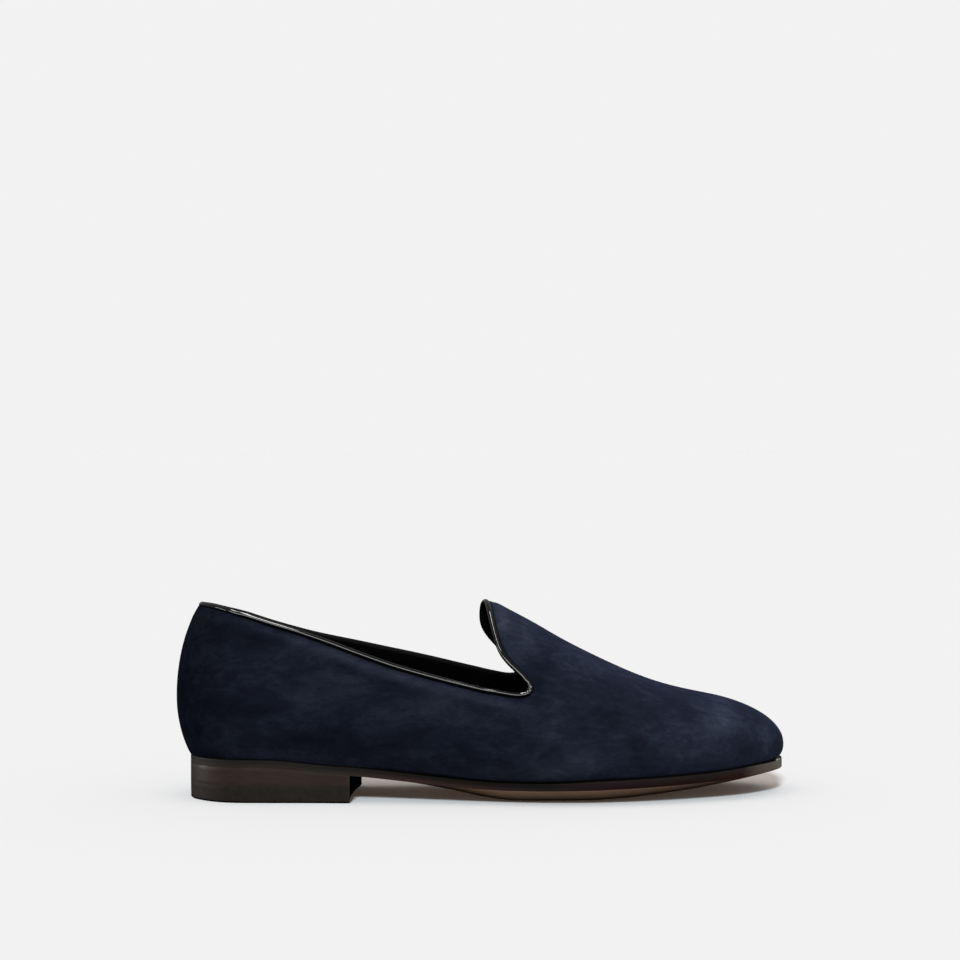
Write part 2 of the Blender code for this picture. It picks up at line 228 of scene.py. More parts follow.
# Materials: colours, sizes in mm and finish of each leather

suede = {
    "deep": "#11131b", "dark": "#1a1d28", "middle": "#242938", "light": "#363c4c", "pale": "#4d5464",
    "stops": (0.18, 0.34, 0.5, 0.66, 0.82),
    # size in mm, detail and bend of the marks; real fibres are about 0.1 mm and are drawn coarser to show
    "marks": {"cloud": (28.0, 2.0, 0.6), "blotch": (8.5, 3.0, 0.9), "wisp": (2.6, 3.0, 0.7),
              "fibre": (0.5, 2.0, 0.3)},
    "shares": {"blotch": 0.5, "wisp": 0.26, "fibre": 0.12},
    "brush": (0.45, 1.0, 1.0),                                    # nap brushed along the shoe
    "fibreBump": (0.25, 0.25), "markBump": (0.3, 0.8),            # strength, and height in mm
    "roughness": 0.8, "sheen": (0.09, 0.35, "#8697c2"),           # weight, roughness and tint
}


def brushedSuede():
    # navy calf suede, sueded and brushed: no gloss, soft cloudy nap marks, pale at grazing angles
    material, tree, shader = newMaterial("navy calf suede, brushed")
    place = put(tree, "ShaderNodeTexCoord", {}, {}).outputs["Object"]
    brushed = put(tree, "ShaderNodeMapping", {}, {"Vector": place, "Scale": suede["brush"]}).outputs["Vector"]
    scales = {}
    for name, (size, detail, bend) in suede["marks"].items():
        scales[name] = put(tree, "ShaderNodeTexNoise", {}, {
            "Vector": brushed, "Scale": 1 / (size * mm), "Detail": detail,
            "Roughness": 0.6, "Distortion": bend}).outputs["Fac"]
    marks = scales["cloud"]
    for name, share in suede["shares"].items():
        marks = put(tree, "ShaderNodeMix", {"data_type": "FLOAT"},
                    {0: share, 2: marks, 3: scales[name]}).outputs[0]
    # nap marks painted on the mesh, lighter or darker; among them are painted highlights and painted shade
    nap = put(tree, "ShaderNodeAttribute", {"attribute_name": "nap"}, {}).outputs["Fac"]
    shade = put(tree, "ShaderNodeMath", {"operation": "ADD"}, {0: marks, 1: nap}).outputs["Value"]
    tones = [suede[name] for name in ("deep", "dark", "middle", "light", "pale")]
    colour = put(tree, "ShaderNodeValToRGB", {}, {"Fac": shade}, zip(suede["stops"], tones))
    tree.links.new(colour.outputs["Color"], shader.inputs["Base Color"])
    strength, height = suede["fibreBump"]
    relief = put(tree, "ShaderNodeBump", {}, {
        "Height": scales["fibre"], "Strength": strength, "Distance": height * mm}).outputs["Normal"]
    strength, height = suede["markBump"]
    relief = put(tree, "ShaderNodeBump", {}, {
        "Height": marks, "Strength": strength, "Distance": height * mm, "Normal": relief}).outputs["Normal"]
    tree.links.new(relief, shader.inputs["Normal"])
    weight, softness, tint = suede["sheen"]
    shader.inputs["Roughness"].default_value = suede["roughness"]
    shader.inputs["Specular IOR Level"].default_value = 0.0
    shader.inputs["Sheen Weight"].default_value = weight
    shader.inputs["Sheen Roughness"].default_value = softness
    shader.inputs["Sheen Tint"].default_value = linear(tint)
    return material


calf = {
    "softness": 0.6, "cloud": 9.0, "detail": 3.0,                 # mm
    "bump": (0.12, 0.05), "coatRoughness": 0.06,                  # strength, and height in mm
}


def smoothLeather(name, dark, light, grain, roughness, gloss, coat):
    # dyed and finished calf: fine pebbled grain under a thin clear finish, soft broken highlights
    material, tree, shader = newMaterial(name)
    place = put(tree, "ShaderNodeTexCoord", {}, {}).outputs["Object"]
    pebble = put(tree, "ShaderNodeTexVoronoi", {"feature": "SMOOTH_F1"}, {
        "Vector": place, "Scale": 1 / (grain * mm), "Smoothness": calf["softness"]}).outputs["Distance"]
    cloud = put(tree, "ShaderNodeTexNoise", {}, {
        "Vector": place, "Scale": 1 / (calf["cloud"] * mm), "Detail": calf["detail"]}).outputs["Fac"]
    colour = put(tree, "ShaderNodeValToRGB", {}, {"Fac": cloud}, ((0.3, dark), (0.7, light)))
    tree.links.new(colour.outputs["Color"], shader.inputs["Base Color"])
    strength, height = calf["bump"]
    relief = put(tree, "ShaderNodeBump", {}, {
        "Height": pebble, "Strength": strength, "Distance": height * mm})
    tree.links.new(relief.outputs["Normal"], shader.inputs["Normal"])
    shader.inputs["Roughness"].default_value = roughness
    shader.inputs["Specular IOR Level"].default_value = gloss
    shader.inputs["Coat Weight"].default_value = coat
    shader.inputs["Coat Roughness"].default_value = calf["coatRoughness"]
    return material


soleBend = {
    "streak": 3.0, "along": (0.35, 1.0, 2.4), "detail": 5.0, "grit": 0.65,       # mm, drawn out along the cut
    "thin": "#e0e0e0", "full": "#ffffff", "reach": 150.0,         # dye in the streaks; mm to either end
    "bump": (0.2, 0.15), "coatRoughness": 0.3,                    # strength, and height in mm
}


def soleLeather(name, tones, roughness, gloss, wax):
    # vegetable-tanned bend, dyed, waxed and burnished: dense fibre with soft streaks along the cut, and tones
    # that change along the shoe, which on the edge stand for painted shade and, at the toe, partly a painted
    # highlight; tones are (mm from the middle, lower colour, upper colour if it differs), with the mesh's own
    # rise between the two
    material, tree, shader = newMaterial(name)
    place = put(tree, "ShaderNodeTexCoord", {}, {}).outputs["Object"]
    along = put(tree, "ShaderNodeMapping", {}, {
        "Vector": place, "Scale": soleBend["along"]}).outputs["Vector"]
    streak = put(tree, "ShaderNodeTexNoise", {}, {
        "Vector": along, "Scale": 1 / (soleBend["streak"] * mm), "Detail": soleBend["detail"],
        "Roughness": soleBend["grit"]}).outputs["Fac"]
    grey = put(tree, "ShaderNodeValToRGB", {}, {"Fac": streak}, (
        (0.3, soleBend["thin"]), (0.7, soleBend["full"])))
    reach = soleBend["reach"]
    fromHeel = put(tree, "ShaderNodeMapRange", {}, {
        "Value": put(tree, "ShaderNodeSeparateXYZ", {}, {"Vector": place}).outputs["X"],
        "From Min": -reach * mm, "From Max": reach * mm}).outputs["Result"]
    low, high = (put(tree, "ShaderNodeValToRGB", {}, {"Fac": fromHeel}, [
        ((tone[0] + reach) / (2 * reach), tone[i]) for tone in tones]).outputs["Color"] for i in (1, -1))
    rise = put(tree, "ShaderNodeAttribute", {"attribute_name": "rise"}, {}).outputs["Fac"]
    dye = put(tree, "ShaderNodeMix", {"data_type": "RGBA"}, {0: rise, 6: low, 7: high}).outputs[2]
    colour = put(tree, "ShaderNodeMix", {"data_type": "RGBA", "blend_type": "MULTIPLY"}, {
        0: 1.0, 6: dye, 7: grey.outputs["Color"]}).outputs[2]
    tree.links.new(colour, shader.inputs["Base Color"])
    strength, height = soleBend["bump"]
    relief = put(tree, "ShaderNodeBump", {}, {
        "Height": streak, "Strength": strength, "Distance": height * mm})
    tree.links.new(relief.outputs["Normal"], shader.inputs["Normal"])
    shader.inputs["Roughness"].default_value = roughness
    shader.inputs["Specular IOR Level"].default_value = gloss
    shader.inputs["Coat Weight"].default_value = wax
    shader.inputs["Coat Roughness"].default_value = soleBend["coatRoughness"]
    return material


rubber = {
    "dark": "#231e1b", "light": "#2a2521", "mottle": 2.5, "detail": 4.0,         # mm
    "bump": (0.15, 0.2), "roughness": 0.65, "gloss": 0.1,         # strength, and height in mm
}


def heelRubber():
    # moulded brown rubber top piece: matt, slightly mottled
    material, tree, shader = newMaterial("brown heel rubber, moulded")
    place = put(tree, "ShaderNodeTexCoord", {}, {}).outputs["Object"]
    mottle = put(tree, "ShaderNodeTexNoise", {}, {
        "Vector": place, "Scale": 1 / (rubber["mottle"] * mm), "Detail": rubber["detail"]}).outputs["Fac"]
    colour = put(tree, "ShaderNodeValToRGB", {}, {"Fac": mottle}, (
        (0.3, rubber["dark"]), (0.7, rubber["light"])))
    tree.links.new(colour.outputs["Color"], shader.inputs["Base Color"])
    strength, height = rubber["bump"]
    relief = put(tree, "ShaderNodeBump", {}, {
        "Height": mottle, "Strength": strength, "Distance": height * mm})
    tree.links.new(relief.outputs["Normal"], shader.inputs["Normal"])
    shader.inputs["Roughness"].default_value = rubber["roughness"]
    shader.inputs["Specular IOR Level"].default_value = rubber["gloss"]
    return material


navySuede = brushedSuede()
bindingLeather = smoothLeather(
    "black calf binding, folded and polished", "#030304", "#050506", 0.4, 0.5, 0.0, 1.0)
liningLeather = smoothLeather("black lining leather, rolled grain", "#070708", "#0c0c0e", 0.7, 0.85, 0.1, 0.0)
# the edge's tones: painted shade where the suede overhangs, darkest along the forefoot and mostly darker in
# the upper tone under the feather line; the pale toe tip is partly worn leather and partly a painted
# highlight
soleEdge = soleLeather("sole leather edge, burnished, with painted shade", (
    (-146, "#332c28", "#252220"), (-84, "#332c27", "#23201f"), (-28, "#3c2b28", "#14110b"),
    (28, "#211916", "#0f0909"), (65, "#1a0607", "#241819"), (104, "#1e130e", "#26201e"),
    (124, "#301b12", "#2f2527"), (140, "#766d61", "#787268"), (146, "#a5a594", "#a5a594")), 0.6, 0.08, 0.0)
soleTread = soleLeather("sole leather tread, stained and waxed", (
    (-146, "#b8967c"), (146, "#c4a288")), 0.6, 0.1, 0.0)
heelLeather = soleLeather("stacked heel leather, sanded and waxed", (
    (-146, "#39302c"), (-60, "#362d29")), 0.5, 0.1, 0.05)
# painted shade: the heel breast, which stands in the arch's shadow, is coloured near black, and so is the
# round at the heel's foot, as painted contact shadow
breastShadeLeather = soleLeather(
    "heel breast leather, black for painted shade", ((-146, "#0d0805"), (-60, "#0d0805")), 0.7, 0.0, 0.0)
topRubber = heelRubber()
print("materials made")


# Upper: suede outside and leather lining, both from the CAD wall

upper = {
    "rimAngle": 38, "finer": 2, "suedeThick": 0.9, "liningThick": 0.6,
    # soft forms along the cut edge, which the binding's seam pulls in: height, place and half width, mm
    "edgeForms": ((-0.9, 0.0, 3.4), (-0.2, 0.0, 0.9), (0.45, 5.6, 2.8)),
    "edgeLitBand": (0.09, 3.0, 2.6), "edgeLitBandLeast": 0.6,             # painted highlight: a lighter band beside the binding, where the rolled edge catches light
    # where these forms fade: from and to which x or z, mm, and how much is left
    "calmBack": (-100.0, -130.0, 0.1), "calmTongue": (58.0, 70.0, 0.15), "tongueFrom": (-45.0, -15.0),
    # where the suede is pulled in under the sole's edge: height and half width, mm; and where that fades
    "footForm": (-0.9, 1.1), "footCalm": (-20.0, -75.0, 0.15),
    # how much the sole's edge is drawn up towards the toe, mm, from and to which x; how far the suede follows
    "lip": ((0.6, 30.0, 60.0), (0.8, 105.0, 132.0)), "lipReach": 6.0,
    # how far the cut edge of the outer side lies above or below the CAD wall's: x and lift, mm; reach
    "edgeLift": ((-140, 0.5), (-126, 0.65), (-121, 0.0), (-116, -0.65), (-100, -0.7), (-85, -0.4),
                 (-70, -0.3), (-58, -0.4), (-40, -0.6), (-20, -0.45), (0, -0.35), (8, 0.0)),
    "liftReach": 14.0, "liftSide": (2.0, -12.0),                  # mm, and between which y it sets in
    "cornerSmooth": (15.0, 14),                                   # reach in mm and rounds
    "throatCorners": ((27.0, -35.0, 59.0), (24.0, 32.0, 63.0)),
    # how far a face has to look to the outer side for creases and for the painted nap-and-light marks to set
    # in and to be full
    "creaseSide": (0.0, 0.3), "markSide": (-0.2, 0.35),
}
upper["creases"] = (
    # outer side, soft troughs (-) and ridges (+) pressed in by wear: height, half width and points x, z, mm
    (-0.75, 1.5, ((24.6, 76.9), (27.0, 73.1), (28.9, 68.4))), (-0.5, 1.3, ((25.1, 69.4), (27.9, 71.0))),
    (0.45, 2.0, ((28.0, 77.5), (31.0, 71.5))),
    (-0.5, 2.4, ((28.0, 26.2), (39.6, 27.2), (56.0, 26.2))), (0.35, 2.6, ((30.0, 31.0), (44.0, 31.6))),
    (-0.55, 2.2, ((94.8, 42.3), (98.0, 39.0), (101.0, 34.4))), (0.35, 2.4, ((100.0, 43.0), (105.0, 37.0))),
    (-0.5, 1.8, ((109.3, 41.8), (116.8, 40.4), (124.7, 39.0))),
    (-0.5, 1.9, ((102.7, 28.8), (111.1, 27.9), (119.0, 27.4))),
    (0.5, 3.0, ((-71.8, 71.0), (-57.3, 63.0))), (-0.5, 2.6, ((-68.0, 65.5), (-56.0, 59.0))),
    (-0.45, 2.6, ((66.0, 36.0), (69.5, 28.0), (70.0, 20.0))),
)
upper["napMarks"] = (
    # outer side, patches painted lighter or darker: partly nap marks, partly painted light and shade, such as
    # painted highlights on the mid quarter, the toe and the tongue and painted shade at the throat corner and
    # low on the quarter: x, z, half length and half height in mm, lighter (+) or darker
    (-120, 80, 10, 5, -0.07), (-104, 75, 12, 7, -0.13), (-128, 61, 10, 6, 0.05), (-134, 84, 4, 7, 0.06),
    (-82, 50, 9, 9, 0.09), (-62, 56, 12, 9, 0.11), (-67, 69, 12, 4, 0.09), (-45, 59, 9, 3, -0.06),
    (-45, 42, 12, 5, 0.10), (-24, 47, 14, 5, 0.11), (-12, 41, 9, 5, 0.05),
    (-117, 43, 9, 6, -0.08), (-102, 44, 10, 5, -0.05), (-81, 30, 10, 5, -0.09), (-66, 32, 10, 4, -0.05),
    (-58, 26, 8, 4, -0.09), (-92, 30, 9, 4, -0.04), (-42, 30, 10, 4, -0.04), (-130, 27, 14, 6, 0.11),
    (-111, 24, 10, 3, 0.07), (-10, 25, 12, 8, 0.05), (30, 36, 10, 5, 0.05),
    (23, 14, 16, 4, 0.10), (40, 18, 12, 5, 0.09), (56, 21, 9, 6, 0.06),
    (78, 19, 8, 5, -0.09), (70, 27, 8, 5, -0.06), (89, 18, 8, 5, -0.05), (62, 40, 8, 4, -0.07),
    (82, 33, 9, 6, -0.05), (112, 35, 11, 6, 0.11), (105, 43, 9, 4, 0.06), (119, 45, 8, 4, 0.06),
    (138, 32, 5, 10, 0.05), (127, 23, 5, 4, -0.06),
    (20, 49, 9, 3, -0.14), (27, 53, 3, 6, -0.16), (29, 61, 5, 5, -0.08),
    (22, 77, 5, 8, 0.11), (10, 84, 7, 9, 0.15), (15, 69, 4, 5, 0.07), (35, 77, 7, 6, -0.05),
    (-5, 18, 11, 4, 0.05), (-44, 54, 8, 3, 0.04), (-4, 46, 8, 4, -0.03), (-131, 55, 8, 7, 0.03),
    (44, 46, 9, 7, 0.02),
)


def bell(distance, place, width):
    return exp(-((distance - place) / width) ** 2)


def topLoop(bm):
    return max(borderLoops(bm), key=lambda loop: sum(v.co.z for v in loop) / len(loop))


def thicken(piece, thick):
    # wall from an open sheet, grown inwards
    modifier = piece.modifiers.new("wall", "SOLIDIFY")
    modifier.thickness = thick * mm
    modifier.offset = -1.0


def ramp(value, start, end):
    # soft step from 0 to 1
    share = min(max((value - start) / (end - start), 0.0), 1.0)
    return share * share * (3 - 2 * share)


def toeLip(place):
    # how far the sole's edge is drawn up here, mm
    return sum(height * ramp(place.x / mm, start, end) for height, start, end in upper["lip"])


def calm(place):
    # how strong the forms along the cut edge are: full on the quarters, faint at the back and the tongue
    start, end, least = upper["calmBack"]
    back = 1 - (1 - least) * ramp(place.x / mm, start, end)
    start, end, least = upper["calmTongue"]
    tongue = 1 - (1 - least) * ramp(place.z / mm, start, end) * ramp(place.x / mm, *upper["tongueFrom"])
    return back * tongue


def edgeLift(place):
    # how far the cut edge is moved up or down here, mm
    points = upper["edgeLift"]
    x = min(max(place.x / mm, points[0][0]), points[-1][0] - 0.001)
    i = max(k for k in range(len(points)) if points[k][0] <= x)
    (left, low), (right, high) = points[i], points[i + 1]
    return (low + (high - low) * ramp(x, left, right)) * ramp(place.y / mm, *upper["liftSide"])


def creased(place, normal):
    # how far the listed creases press the outer side in or out here
    here = Vector((place.x, place.z)) / mm
    height = 0.0
    for depth, wide, points in upper["creases"]:
        gaps = []
        for start, end in zip(points, points[1:]):
            start, end = Vector(start), Vector(end)
            share = geometry.intersect_point_line(here, start, end)[1]
            gaps.append((here - start.lerp(end, min(max(share, 0.0), 1.0))).length)
        height += depth * bell(min(gaps), 0, wide)
    return height * ramp(-normal.y, *upper["creaseSide"])


def borderTree(loop):
    # finds the nearest of these vertices
    tree = KDTree(len(loop))
    for i, vert in enumerate(loop):
        tree.insert(vert.co, i)
    tree.balance()
    return tree


def smoothCorners(bm):
    # evens out the narrow faces close to the throat corners
    reach, rounds = upper["cornerSmooth"]
    close = [vert for vert in bm.verts if not vert.is_boundary
             and min((vert.co / mm - Vector(c)).length for c in upper["throatCorners"]) < reach]
    for step in range(rounds):
        bmesh.ops.smooth_vert(bm, verts=close, factor=0.5, use_axis_x=True, use_axis_y=True, use_axis_z=True)


def markedNapAndLight(place, normal):
    # how much lighter or darker the nap marks, with the painted light and shade among them, make it here
    outer = ramp(-normal.y, *upper["markSide"])
    x, z = place.x / mm, place.z / mm
    return outer * sum(tone * bell(x, cx, along) * bell(z, cz, up)
                       for cx, cz, along, up, tone in upper["napMarks"])


def makeSuede():
    bm = subdivided(sheetOf("upper", 0, upper["rimAngle"]), upper["finer"])
    smoothCorners(bm)
    top = topLoop(bm)
    edge = borderTree(top)
    foot = borderTree([vert for loop in borderLoops(bm) if set(loop) != set(top) for vert in loop])
    bm.normal_update()
    nap = bm.verts.layers.float.new("nap")
    moves = []
    for vert in bm.verts:
        far = edge.find(vert.co)[2] / mm
        strength = calm(vert.co)
        move = strength * sum(height * bell(far, place, wide) for height, place, wide in upper["edgeForms"])
        height, wide = upper["footForm"]
        low = foot.find(vert.co)[2] / mm
        start, end, least = upper["footCalm"]
        height *= 1 - (1 - least) * ramp(vert.co.x / mm, start, end)
        move += height * bell(low, 0, wide) + creased(vert.co, vert.normal)
        lift = edgeLift(vert.co) * (1 - ramp(far, 0, upper["liftReach"]))
        lift += toeLip(vert.co) * bell(low, 0, upper["lipReach"])
        moves.append((vert, (vert.normal * move + Vector((0, 0, lift))) * mm))
        # painted highlight on the band beside the binding, then the nap marks with their painted light and
        # shade
        height, place, wide = upper["edgeLitBand"]
        vert[nap] = max(strength, upper["edgeLitBandLeast"]) * height * bell(far, place, wide)
        vert[nap] += markedNapAndLight(vert.co, vert.normal)
    for vert, move in moves:
        vert.co += move
    thicken(addPiece("suede_upper", bm, [navySuede], ["upper"]), upper["suedeThick"])


def makeLining():
    bm = subdivided(sheetOf("upper", 1, upper["rimAngle"]), upper["finer"])
    smoothCorners(bm)
    thicken(addPiece("upper_lining", bm, [liningLeather]), upper["liningThick"])


makeSuede()
makeLining()


# Binding: a folded strip over the cut edge, swept along the suede's top border

binding = {
    "middle": -1.0, "wide": 2.3, "foot": -0.05, "tall": 2.75,     # mm, from the suede's cut edge
    "sides": 48, "closer": 2, "even": 6,                          # frames it is evened over, to each side
    "liningFrom": -0.38, "weld": 0.0001,                          # mm across, further in it is lining; mm
    "corners": ((24.6, -38.0, 55.2), (21.8, 34.2, 57.8)),         # throat corners, where it is gathered
    "gathers": (0.1, 2.4, 5.5), "gatherRun": (0.5, 0.0, 1.0),     # depth share, pitch and reach, mm; the way
}


def bindingSection():
    # closed section in mm: across (outwards is +) and up past the cut edge
    turns = [2 * pi * i / binding["sides"] for i in range(binding["sides"])]
    return [(cos(turn) * binding["wide"] / 2, sin(turn) * binding["tall"] / 2) for turn in turns]


def edgeFrames():
    # place on the cut edge, the way out of the suede and the way on past its edge, in even steps
    sheet = subdivided(sheetOf("upper", 0, upper["rimAngle"]), upper["finer"])
    sheet.normal_update()
    loop = topLoop(sheet)
    places = [vert.co + Vector((0, 0, edgeLift(vert.co) * mm)) for vert in loop]
    outs = [vert.normal.copy() for vert in loop]
    inwards = [next(e.other_vert(v).co for e in v.link_edges if not e.is_boundary) - v.co for v in loop]
    sheet.free()
    frames = []
    count = len(places)
    for i in range(count):
        before, here, after, later = (places[(i + k) % count] for k in (-1, 0, 1, 2))
        for step in range(binding["closer"]):
            share = step / binding["closer"]
            at = geometry.interpolate_bezier(here, here + (after - before) / 6, after - (later - here) / 6,
                                             after, binding["closer"] + 1)[step]
            run = ((after - before).lerp(later - here, share)).normalized()
            frames.append((at, run, outs[i].lerp(outs[(i + 1) % count], share), inwards[i]))
    # its turning is evened over the frames beside it, so that the highlight runs on smoothly
    even = range(-binding["even"], binding["even"] + 1)
    turned = []
    for i in range(len(frames)):
        beside = [frames[(i + k) % len(frames)] for k in even]
        run = sum((part[1] for part in beside), Vector()).normalized()
        out = sum((part[2] for part in beside), Vector())
        out = (out - out.dot(run) * run).normalized()
        past = run.cross(out)
        at, inward = frames[i][0], frames[i][3]
        turned.append((at, out, past if past.dot(inward) < 0 else -past))
    return turned


def gathered(at):
    # how much the bead swells here: small even gathers close to the throat corners
    depth, pitch, reach = binding["gathers"]
    swell = 1.0
    for corner in binding["corners"]:
        offset = at / mm - Vector(corner)
        turn = 2 * pi * offset.dot(Vector(binding["gatherRun"])) / pitch
        swell += depth * bell(offset.length, 0, reach) * sin(turn)
    return swell


def makeBinding():
    frames = edgeFrames()
    count = len(frames)
    lines = []
    section = bindingSection()
    for across, up in section:
        line = []
        for at, out, past in frames:
            swell = gathered(at)
            side = binding["middle"] + across * swell
            rise = binding["foot"] + binding["tall"] / 2 + up * swell
            line.append(at + (out * side + past * rise) * mm)
        lines.append(line)
    bm = bmesh.new()
    verts = [bm.verts.new(place) for place in lines[0]]
    ring = [bm.edges.new((verts[i - 1], verts[i])) for i in range(count)]
    for (across, up), line in zip(section, lines[1:] + lines[:1]):
        # each line of the section is drawn out of the one before it; the inner half is lining side
        order = {tuple(vert.co): i for i, vert in enumerate(verts)}
        drawn = bmesh.ops.extrude_edge_only(bm, edges=ring)["geom"]
        fresh = {part for part in drawn if isinstance(part, bmesh.types.BMVert)}
        verts = sorted(fresh, key=lambda vert: order[tuple(vert.co)])
        ring = [part for part in drawn if isinstance(part, bmesh.types.BMEdge)]
        ring = [edge for edge in ring if edge.verts[0] in fresh and edge.verts[1] in fresh]
        for vert, place in zip(verts, line):
            vert.co = place
        for part in drawn:
            if isinstance(part, bmesh.types.BMFace):
                part.material_index = 1 if across < binding["liningFrom"] else 0
    bmesh.ops.remove_doubles(bm, verts=bm.verts, dist=binding["weld"] * mm)
    bmesh.ops.recalc_face_normals(bm, faces=bm.faces)
    addPiece("topline_bind", bm, [bindingLeather, liningLeather], ["topline_binding"])


makeBinding()


# Insole sock, outsole and heel, refined from their CAD nodes

sole = {
    "finer": 2, "corner": 40, "edgeRound": 0.6, "roundSteps": 3,  # degrees, mm
    "treadSlope": -0.3, "seatEnd": -58.0, "rimSlope": 0.5,        # the tread looks down, ahead of the seat
    "featherShade": (0.6, 3.4),                                        # mm below the feather line, darker to paler: painted shade under the suede's overhang
}


def roundEdges(piece, width):
    # hard corners get a small worn round
    modifier = piece.modifiers.new("round", "BEVEL")
    modifier.limit_method = "ANGLE"
    modifier.angle_limit = radians(sole["corner"])
    modifier.width = width * mm
    modifier.segments = sole["roundSteps"]
    modifier.profile = 0.5
    modifier.harden_normals = True


def makeInsole():
    bm = copyNode("insole")
    crease(bm, sole["corner"])
    addPiece("insole_sock", subdivided(bm, sole["finer"]), [liningLeather], ["insole"])


def featherLine(bm):
    # vertices between the sole's upright edge and its upper face
    bm.normal_update()
    found = []
    for vert in bm.verts:
        slopes = [face.normal.z for face in vert.link_faces]
        if max(slopes) > sole["rimSlope"] and min(abs(slope) for slope in slopes) < sole["rimSlope"]:
            found.append(vert)
    return found


def makeOutsole():
    bm = copyNode("outsole")
    for vert in featherLine(bm):
        vert.co.z += toeLip(vert.co) * mm
    crease(bm, sole["corner"])
    bm = subdivided(bm, sole["finer"])
    feather = borderTree(featherLine(bm))
    # how far up the edge a vertex lies towards the feather line, where the upper tone paints the suede's
    # shade
    rise = bm.verts.layers.float.new("rise")
    for vert in bm.verts:
        vert[rise] = 1 - ramp(feather.find(vert.co)[2] / mm, *sole["featherShade"])
    for face in bm.faces:
        tread = face.normal.z < sole["treadSlope"] and face.calc_center_median().x > sole["seatEnd"] * mm
        face.material_index = 1 if tread else 0
    piece = addPiece("leather_outsole", bm, [soleEdge, soleTread], ["outsole"])
    roundEdges(piece, sole["edgeRound"])


heel = {
    # node: piece, material, slot, how far its lower and upper faces close the joints and its round, mm
    "layers": {
        "heel_stack": ("stacked_heel", heelLeather, "heel_leather", -0.15, 0.55, 0.1),
        "top_lift": ("heel_top_piece", topRubber, "heel_rubber", 0.0, 0.15, 0.2),
    },
    "breastSlope": 0.6,                                           # how far the breast has to look forward
    "foot": 0.05, "footShade": 0.8, "footShadeSteps": 3,                    # mm, a near-black round at the heel's foot, painted contact shadow
}


def makeHeel():
    for node, (name, material, slot, down, up, rounding) in heel["layers"].items():
        bm = copyNode(node)
        bm.normal_update()
        for vert in bm.verts:
            lift = max((face.normal.z for face in vert.link_faces), key=abs)
            vert.co.z += (up if lift > 0 else down) * mm
        crease(bm, sole["corner"])
        bm = subdivided(bm, sole["finer"])
        bm.normal_update()
        for face in bm.faces:
            # the forward-looking breast is painted near black for its shade
            face.material_index = 1 if face.normal.x > heel["breastSlope"] else 0
        # the lowest hard edges get a near-black round, painted contact shadow
        lowest = [edge for edge in bm.edges if max(v.co.z for v in edge.verts) < heel["foot"] * mm
                  and edge.calc_face_angle(0) > radians(sole["corner"])]
        if lowest:
            footShade = bmesh.ops.bevel(
                bm, geom=lowest, offset=heel["footShade"] * mm, offset_type="OFFSET", affect="EDGES",
                segments=heel["footShadeSteps"], profile=0.5, material=-1)["faces"]
            for face in footShade:
                face.material_index = 1
        piece = addPiece(name, bm, [material, breastShadeLeather], [node])
        roundEdges(piece, rounding)


makeInsole()
makeOutsole()
makeHeel()


# Stage: plain pale floor, soft light from the toe side and the front, camera at the photo's angle

stage = {
    "floor": 20.0, "pale": 0.80, "backdrop": "#f2f2f2", "fill": 0.27, "horizon": 0.1,
    "lens": 93.3, "sensor": 36.0, "clip": (0.05, 100.0),
    "eye": (0.0, -1.2, 0.174), "pitch": -1.078, "roll": -0.25,
}


def makeFloor():
    bm = bmesh.new()
    bmesh.ops.create_grid(bm, x_segments=1, y_segments=1, size=stage["floor"])
    floor = bpy.data.objects.new("floor", toMesh(bm, "floor"))
    bpy.context.scene.collection.objects.link(floor)
    # matt board: even and pale, with no gloss
    material, tree, shader = newMaterial("matt white studio board")
    shader.inputs["Base Color"].default_value = (stage["pale"], stage["pale"], stage["pale"], 1)
    shader.inputs["Roughness"].default_value = 1.0
    shader.inputs["Specular IOR Level"].default_value = 0.0
    floor.data.materials.append(material)
    # the photo's shoe stands on a cut-out white ground, which throws no light back
    floor.visible_diffuse = False
    floor.visible_glossy = False


def makeWorld():
    # flat pale backdrop for the camera; for the shoe a dim even sky, dark below the floor
    world = bpy.data.worlds.new("studio")
    bpy.context.scene.world = world
    world.use_nodes = True
    tree = world.node_tree
    back = tree.nodes["Background"]
    view = put(tree, "ShaderNodeBackground", {}, {"Color": linear(stage["backdrop"]), "Strength": 1.0})
    way = put(tree, "ShaderNodeTexCoord", {}, {}).outputs["Generated"]
    height = put(tree, "ShaderNodeSeparateXYZ", {}, {"Vector": way}).outputs["Z"]
    sky = put(tree, "ShaderNodeMapRange", {}, {
        "Value": height, "From Min": -stage["horizon"], "From Max": stage["horizon"],
        "To Max": stage["fill"]}).outputs["Result"]
    back.inputs["Color"].default_value = (1.0, 1.0, 1.0, 1.0)
    tree.links.new(sky, back.inputs["Strength"])
    seen = put(tree, "ShaderNodeLightPath", {}, {}).outputs["Is Camera Ray"]
    mixed = put(tree, "ShaderNodeMixShader", {}, {0: seen, 1: back.outputs[0], 2: view.outputs[0]})
    tree.links.new(mixed.outputs[0], tree.nodes["World Output"].inputs["Surface"])


